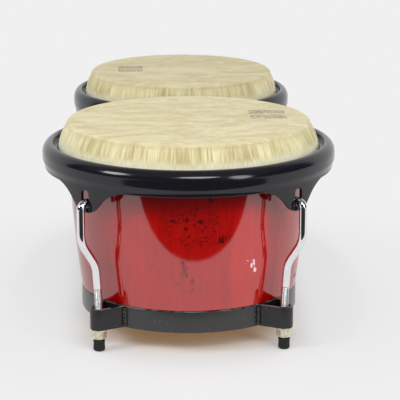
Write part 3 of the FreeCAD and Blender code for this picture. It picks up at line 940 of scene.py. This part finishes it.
def staves(n, azimuth):
    """A random tint for each stave, and a value that nears 0.5 at the joints between them."""
    turn = n.times(n.plus(azimuth, STAVE_SHIFT), 1 / STAVE_DEG)
    stave = n.math("FLOOR", turn)
    tint = n.add("ShaderNodeTexWhiteNoise", {"W": stave}, noise_dimensions="1D").outputs["Value"]
    return tint, n.math("ABSOLUTE", n.minus(n.math("FRACT", turn), 0.5))


def lacquer(drum):
    """Red dyed staves under a thick clear coat, with painted shade towards the rim and down one side, and
    specks, scuffs and chips.
    """
    n = new_material(drum.name + "_red_lacquer")
    place = object_place(n)
    azimuth, height = azimuth_and_height(n, drum, place)
    wear = LACQUER_WEAR_AND_SHADE[drum.name]
    base = red_wood(n, place, "z")
    tint, joint = staves(n, azimuth)
    base = n.mix(n.times(tint, 0.22), base, colour(104, 4, 4))
    bright = all_spots(n, azimuth, height, wear["bright"])
    base = n.mix(n.times(bright, 0.35), base, colour(206, 24, 18))
    # Painted shade darkens one side of each shell.
    shade = all_spots(n, azimuth, height, wear["shade"])
    base = n.mix(n.times(shade, 0.45), base, colour(96, 4, 8))
    seam = n.times(n.step(joint, 0.484, 0.497), n.step(tint, 0.45, 0.9, 0.06, 0.4))
    base = n.mix(seam, base, colour(206, 62, 48))
    # Painted shade under the overhanging rim: the red darkens from 116 mm up to 152 mm and stays dark above.
    base = n.mix(n.step(height, 116, 152, 0, 0.78), base, colour(50, 1, 2))
    fleck = n.noise(n.stretch(place, 0.7, 0.7, 1.0), 420, 3, 0.5)
    smear = n.noise(n.stretch(place, 1.0, 1.0, 0.4), 420, 4, 0.6)
    specked = all_spots(n, azimuth, height, wear["specks"])
    specks = ragged(n, specked, fleck, 0.64, 0.84)
    blots = ragged(n, all_spots(n, azimuth, height, wear["blots"]), smear, 0.30, 0.66)
    grime = n.times(specked, n.step(n.noise(place, 95, 4, 0.7), 0.48, 0.66, 0, 0.35))
    base = n.mix(grime, base, colour(70, 6, 6))
    base = n.mix(n.times(n.math("MAXIMUM", specks, blots), 0.85), base, colour(34, 5, 5))
    scuffs = ragged(n, all_spots(n, azimuth, height, wear["scuffs"]), smear, 0.38, 0.78)
    base = n.mix(n.times(scuffs, 0.85), base, colour(44, 42, 58))
    chips = ragged(n, all_spots(n, azimuth, height, wear["chips"]), smear, 0.38, 0.56)
    base = n.mix(chips, base, colour(236, 196, 200))
    dents = all_spots(n, azimuth, height, wear["dents"])
    base = n.mix(dents, base, colour(40, 44, 34))
    rough = n.plus(0.035, n.times(n.noise(place, 90, 4, 0.6), 0.05))
    worn = n.math("MINIMUM", n.plus(scuffs, n.plus(chips, dents)), 1.0)
    rough = n.plus(rough, n.times(worn, 0.35))
    sag = n.bump(n.noise(place, 26, 2, 0.4), 0.10 * MM)
    peel = n.bump(n.noise(place, 420, 2), 0.0012 * MM, sag)
    depth = n.bump(n.minus(1.0, worn), 0.12 * MM, peel)
    return finish_material(n, Base_Color=base, Roughness=rough, IOR=1.95, Normal=depth)


def block_lacquer():
    n = new_material("block_red_lacquer")
    place = object_place(n)
    base = red_wood(n, place, "x")
    rough = n.plus(0.12, n.times(n.noise(place, 70, 4, 0.6), 0.14))
    normal = n.bump(n.noise(n.stretch(place, 0.06, 1, 1), 500, 3), 0.02 * MM)
    return finish_material(n, Base_Color=base, Roughness=rough, IOR=1.7, Normal=normal)


def bare_wood(drum):
    """Inside of a shell: pale hardwood staves with dark glue lines, sanded and a little dusty."""
    n = new_material(drum.name + "_bare_wood")
    place = object_place(n)
    azimuth, _ = azimuth_and_height(n, drum, place)
    grain = n.noise(n.stretch(place, 1, 1, 0.05), 300, 5, 0.65, 0.4)
    pores = n.noise(n.stretch(place, 1, 1, 0.02), 1600, 2)
    figure = n.plus(n.times(grain, 0.7), n.times(pores, 0.3))
    base = n.mix(n.step(figure, 0.35, 0.65), colour(150, 103, 58), colour(206, 166, 112))
    tint, joint = staves(n, azimuth)
    base = n.mix(n.times(tint, 0.35), base, colour(170, 120, 74))
    base = n.mix(n.step(joint, 0.482, 0.497, 0, 0.8), base, colour(88, 56, 30))
    rough = n.plus(0.55, n.times(pores, 0.25))
    normal = n.bump(figure, 0.12 * MM)
    return finish_material(n, Base_Color=base, Roughness=rough, Normal=normal)


# Faded mark on each head: middle (x, y from the drum's axis), half size, in mm.
HEAD_MARKS = {"hembra": ((72.0, 17.0), (17.0, 22.0)), "macho": ((-52.0, 3.0), (13.0, 18.0))}


def faded_mark(n, drum, x, y, wear):
    """Two rows of worn strokes, in place of the maker's print."""
    (middle_x, middle_y), (half_x, half_y) = HEAD_MARKS[drum.name]
    across = n.times(n.minus(x, middle_x), 1 / half_x)
    along = n.times(n.minus(y, middle_y), 1 / half_y)
    row = n.math("ABSOLUTE", n.minus(n.math("FRACT", n.plus(along, 1.0)), 0.5))
    stroke = n.math("ABSOLUTE", n.minus(n.math("FRACT", n.times(n.plus(across, along), 3.5)), 0.5))
    within_x = n.step(n.math("ABSOLUTE", across), 1.0, 0.94)
    within_y = n.step(n.math("ABSOLUTE", along), 1.0, 0.97)
    ink = n.times(n.step(row, 0.40, 0.34), n.step(stroke, 0.30, 0.22))
    return n.times(n.times(n.times(within_x, within_y), ink), wear)


# How much darker each head's colour is made, 0 to 1.
FILM_DARKENING = {"hembra": 0.0, "macho": 0.11}


def film(drum):
    """Cream laminate with cloudy fibres on top and tan streaks down the moulded collar."""
    n = new_material(drum.name + "_fibre_film")
    place = n.add("ShaderNodeAttribute", attribute_name="rest_place").outputs["Vector"]
    _, height = azimuth_and_height(n, drum, place)
    x, y, _ = n.split(place)
    cloud = n.noise(n.stretch(place, 0.55, 1, 1), 30, 5, 0.65, 1.4)
    strand = n.noise(n.stretch(place, 0.22, 0.8, 1), 230, 4, 0.65, 1.6)
    fibre = n.noise(n.stretch(place, 0.5, 1, 0.4), 800, 3, 0.6, 1.5)
    figure = n.plus(n.times(cloud, 0.5), n.plus(n.times(strand, 0.32), n.times(fibre, 0.18)))
    top = n.mix(n.step(figure, 0.38, 0.62), colour(183, 171, 128), colour(211, 201, 163))
    dust = n.step(n.noise(n.stretch(place, 0.6, 1, 1), 70, 5, 0.7, 1.0), 0.54, 0.70, 0, 0.4)
    top = n.mix(dust, top, colour(225, 219, 195))
    around = along_wall(n, drum, place)
    streak = n.noise(n.stretch(around, 1, 1, 0.10), 230, 3, 0.55, 0.2)
    thread = n.noise(n.stretch(around, 1, 1, 0.06), 700, 2, 0.5)
    patch = n.noise(n.stretch(around, 1, 1, 0.4), 40, 2)
    grain = n.plus(n.times(streak, 0.34), n.plus(n.times(thread, 0.32), n.times(patch, 0.34)))
    tan = n.mix(n.step(grain, 0.34, 0.62), colour(171, 157, 106), colour(223, 214, 173))
    edge = n.plus(height, n.times(n.minus(n.plus(patch, streak), 1.0), 11.0))
    low_edge = n.plus(height, n.times(n.minus(n.plus(streak, thread), 1.0), 9.0))
    side = n.times(n.step(edge, 190.5, 181.5), n.step(low_edge, 168.5, 177.0))
    side = n.times(side, n.step(height, 189.9, 187.4))
    base = n.mix(side, top, tan)
    base = n.mix(n.step(low_edge, 176.5, 169.0, 0, 0.85), base, colour(230, 227, 204))
    base = n.mix(FILM_DARKENING[drum.name], base, colour(96, 86, 52))
    x_mm, y_mm = n.times(x, 1 / MM), n.minus(n.times(y, 1 / MM), drum.y)
    wear = n.step(n.noise(place, 160, 4, 0.7), 0.36, 0.50, 0.15, 0.95)
    on_top = n.step(height, 189.0, 189.8)
    base = n.mix(n.times(faded_mark(n, drum, x_mm, y_mm, wear), on_top), base, colour(76, 75, 74))
    rough = n.plus(0.48, n.times(fibre, 0.24))
    normal = n.bump(n.plus(n.times(strand, 0.6), n.times(fibre, 0.4)), 0.05 * MM)
    soft = {"Subsurface_Weight": 0.7, "Subsurface_Radius": (1.0, 0.9, 0.75), "Subsurface_Scale": 1.5 * MM}
    return finish_material(n, Base_Color=base, Roughness=rough, Normal=normal, **soft)


def gloss_black():
    """Thick gloss powder coat on the rims: orange peel, faint dulling and a few fine scratches."""
    n = new_material("gloss_black_coat")
    place = object_place(n)
    cloud = n.noise(place, 60, 4, 0.6)
    scratch = n.step(n.noise(n.stretch(place, 0.12, 0.12, 2.0), 700, 2), 0.66, 0.72)
    dust = n.step(n.noise(place, 800, 2), 0.70, 0.76)
    base = n.mix(n.times(dust, 0.25), (0.006, 0.006, 0.009, 1), (0.16, 0.16, 0.16, 1))
    rough = n.plus(0.10, n.plus(n.times(cloud, 0.08), n.times(scratch, 0.12)))
    peel = n.bump(n.noise(place, 520, 2, 0.5), 0.010 * MM)
    normal = n.bump(n.times(scratch, -1.0), 0.004 * MM, peel)
    return finish_material(n, Base_Color=base, Roughness=rough, Normal=normal)


def satin_black(name, ior):
    """Satin powder coat, worn lighter in small specks, with a painted highlight along the top edge of the
    ring and brackets.
    """
    n = new_material(name)
    place = object_place(n)
    cloud = n.noise(place, 45, 4, 0.6)
    chip = n.step(n.noise(place, 420, 3, 0.6), 0.70, 0.73)
    base = n.mix(cloud, (0.005, 0.005, 0.006, 1), (0.014, 0.014, 0.015, 1))
    base = n.mix(n.times(chip, 0.7), base, (0.20, 0.19, 0.18, 1))
    # Painted highlight: a lighter line, broken up like rubbing, along the top edge where the rounded edge
    # catches the light.
    height = height_mm(n, place)
    highlight_band = n.step(height, RING_TOP_Z - 0.5, RING_TOP_Z - 0.1)
    painted_edge_highlight = n.times(highlight_band, n.step(n.noise(place, 130, 3), 0.42, 0.56))
    base = n.mix(n.times(painted_edge_highlight, 0.6), base, (0.24, 0.23, 0.23, 1))
    rough = n.plus(0.20, n.times(cloud, 0.14))
    normal = n.bump(n.noise(place, 1100, 3), 0.010 * MM)
    return finish_material(n, Base_Color=base, Roughness=rough, IOR=ior, Normal=normal)


def chrome():
    """Chrome plate with faint stains and pits, dull and dirty in the cut thread."""
    n = new_material("chrome_plate")
    place = object_place(n)
    height = height_mm(n, place)
    thread = n.step(height, THREAD_TOP_Z + 1, THREAD_TOP_Z - 1)
    stain = n.noise(place, 260, 4, 0.7)
    pit = n.step(n.noise(place, 900, 2), 0.72, 0.76)
    base = n.mix(n.times(thread, 0.4), (0.84, 0.85, 0.87, 1), (0.50, 0.49, 0.45, 1))
    base = n.mix(n.step(stain, 0.50, 0.68, 0, 0.22), base, (0.46, 0.44, 0.40, 1))
    base = n.mix(n.times(pit, 0.5), base, (0.30, 0.26, 0.20, 1))
    rough = n.plus(n.plus(0.035, n.times(stain, 0.05)), n.plus(n.times(thread, 0.22), n.times(pit, 0.3)))
    normal = n.bump(n.noise(n.stretch(place, 1, 1, 0.2), 300, 2), 0.004 * MM)
    return finish_material(n, Base_Color=base, Roughness=rough, Metallic=1.0, Normal=normal)


def plated(name, light, dark, rough_low):
    """Plated steel with stains and fine rubbing marks."""
    n = new_material(name)
    place = object_place(n)
    stain = n.noise(place, 320, 4, 0.65)
    rub = n.noise(n.stretch(place, 1, 1, 6.0), 700, 3)
    base = n.mix(n.step(stain, 0.42, 0.68), light, dark)
    rough = n.plus(rough_low, n.times(n.plus(stain, rub), 0.12))
    normal = n.bump(rub, 0.010 * MM)
    return finish_material(n, Base_Color=base, Roughness=rough, Metallic=1.0, Normal=normal)


def rubber():
    n = new_material("black_rubber_cap")
    place = object_place(n)
    bloom = n.noise(place, 240, 4, 0.6)
    scuff = n.step(height_mm(n, place), 1.6, 0.2)
    base = n.mix(bloom, (0.004, 0.005, 0.005, 1), (0.012, 0.013, 0.013, 1))
    base = n.mix(n.times(n.times(scuff, bloom), 0.6), base, (0.10, 0.10, 0.10, 1))
    rough = n.plus(0.5, n.times(bloom, 0.25))
    normal = n.bump(n.noise(place, 1800, 3), 0.03 * MM)
    return finish_material(n, Base_Color=base, Roughness=rough, IOR=1.4, Normal=normal)


GLOSS_BLACK = gloss_black()
RING_BLACK = satin_black("ring_black_coat", 1.68)
BRACKET_BLACK = satin_black("bracket_black_coat", 1.48)
CHROME = chrome()
RUBBER = rubber()
HOOP_METAL = plated("hoop_metal", (0.75, 0.75, 0.76, 1), (0.60, 0.60, 0.60, 1), 0.28)
NUT_PLATE = plated("pale_zinc_nut", (0.82, 0.78, 0.62, 1), (0.62, 0.56, 0.38, 1), 0.22)
WASHER_PLATE = plated("pale_zinc_washer", (0.80, 0.77, 0.64, 1), (0.64, 0.58, 0.42, 1), 0.26)
BOLT_PLATE = plated("bolt_steel", (0.62, 0.62, 0.63, 1), (0.46, 0.46, 0.47, 1), 0.25)
BLOCK_WOOD = block_lacquer()


# ---- building ----


def add_rim(drum):
    node = drum.name + "_rim"
    rim = mesh_object(node + "_detail", placed(rim_shape(drum), drum, 0))
    cut(rim, [mesh_object("slot", placed(slot_shape(drum), drum, angle)) for angle in LUG_ANGLES])
    finish_piece(rim, drum.tuning, node, "gloss_black_steel", GLOSS_BLACK)
    soften(rim, 0.4, 60)


def add_skin(drum):
    node = drum.name + "_head_skin"
    skin = mesh_object(node + "_detail", placed(skin_shape(drum), drum, 0))
    rest = skin.data.attributes.new("rest_place", "FLOAT_VECTOR", "POINT")
    places = np.empty(len(skin.data.vertices) * 3, np.float32)
    skin.data.vertices.foreach_get("co", places)
    rest.data.foreach_set("vector", places)
    finish_piece(skin, None, node, "drum_head_film", film(drum))
    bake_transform(skin)


def add_shell(drum):
    node = drum.name + "_shell"
    shell = mesh_object(node + "_detail", placed(shell_shape(drum), drum, 0))
    side = 1 if drum.y < 0 else -1
    cutters = []
    for z in BOLT_Z:
        face = drum.y + side * (drum.shell_r(z - SEAT_R) - SHELL_T + SEAT_DEPTH)
        inside = face - side * 30
        outside = face + side * 30
        cutters.append(mesh_object("drill", drill_shape(BOLT_HOLE_R, inside, outside, z)))
        cutters.append(mesh_object("spot_facer", drill_shape(SEAT_R, inside, face, z)))
    cut(shell, cutters, 30)
    finish_piece(shell, "drums", node, "red_lacquered_wood", lacquer(drum), bare_wood(drum))
    for face in shell.data.polygons:
        away = np.array((face.center.x, face.center.y - drum.y * MM))
        out = away @ np.array(face.normal[:2]) / np.linalg.norm(away)
        outside = np.linalg.norm(away) / MM > drum.shell_r(face.center.z / MM) - 1
        face.material_index = 0 if outside and out > 0.2 else 1


def add_drum(drum):
    add_rim(drum)
    add_skin(drum)
    add_shell(drum)
    hoop_low, hoop_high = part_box(drum.name + "_flesh_hoop")
    inner = drum.collar_end_r + HOOP_CLEAR
    outer = (hoop_high.x - hoop_low.x) / 2 / MM
    hoop = rounded_box((inner, hoop_low.z / MM), (outer, hoop_high.z / MM), HOOP_ROUND)
    ring = rounded_box((drum.ring_r - RING_T, RING_Z), (drum.ring_r, RING_TOP_Z), RING_ROUND)
    pieces = [
        ("flesh_hoop", 0, turned(hoop), drum.tuning, "hoop_metal", HOOP_METAL),
        ("bottom_ring", 0, turned(ring), "drums", "satin_black_steel", RING_BLACK),
    ]
    for kind, *rest in (
        ("lug_bracket", bracket_shape(drum), "drums", "satin_black_steel", BRACKET_BLACK),
        ("tuning_rod", rod_shape(drum), drum.tuning, "chrome_rod", CHROME),
        ("rubber_cap", cap_shape(drum), drum.tuning, "black_rubber", RUBBER),
    ):
        pieces += [(f"{kind}_{number}", angle, *rest) for number, angle in enumerate(LUG_ANGLES, 1)]
    for kind, angle, shape, body, slot_name, material in pieces:
        node = drum.name + "_" + kind
        piece = mesh_object(node + "_detail", placed(shape, drum, angle))
        finish_piece(piece, body, node, slot_name, material)


def finish_cad_piece(name, material, width):
    """A carried-over CAD piece, with its own material and edges softened to a width."""
    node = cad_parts[name]
    node.data.materials.clear()
    node.data.materials.append(material)
    weld = node.modifiers.new("weld", "WELD")
    weld.merge_threshold = 0.01 * MM
    soften(node, width, 35).harden_normals = True


for drum in DRUMS:
    add_drum(drum)
    for number in range(1, len(LUG_ANGLES) + 1):
        finish_cad_piece(f"{drum.name}_nut_washer_{number}", WASHER_PLATE, 0.2)
        finish_cad_piece(f"{drum.name}_tuning_nut_{number}", NUT_PLATE, 0.25)
finish_cad_piece("centre_block", BLOCK_WOOD, 0.6)
finish_cad_piece("block_bolts", BOLT_PLATE, 0.3)
finish_cad_piece("block_plate_washers", BOLT_PLATE, 0.2)
finish_cad_piece("block_nuts", BOLT_PLATE, 0.25)
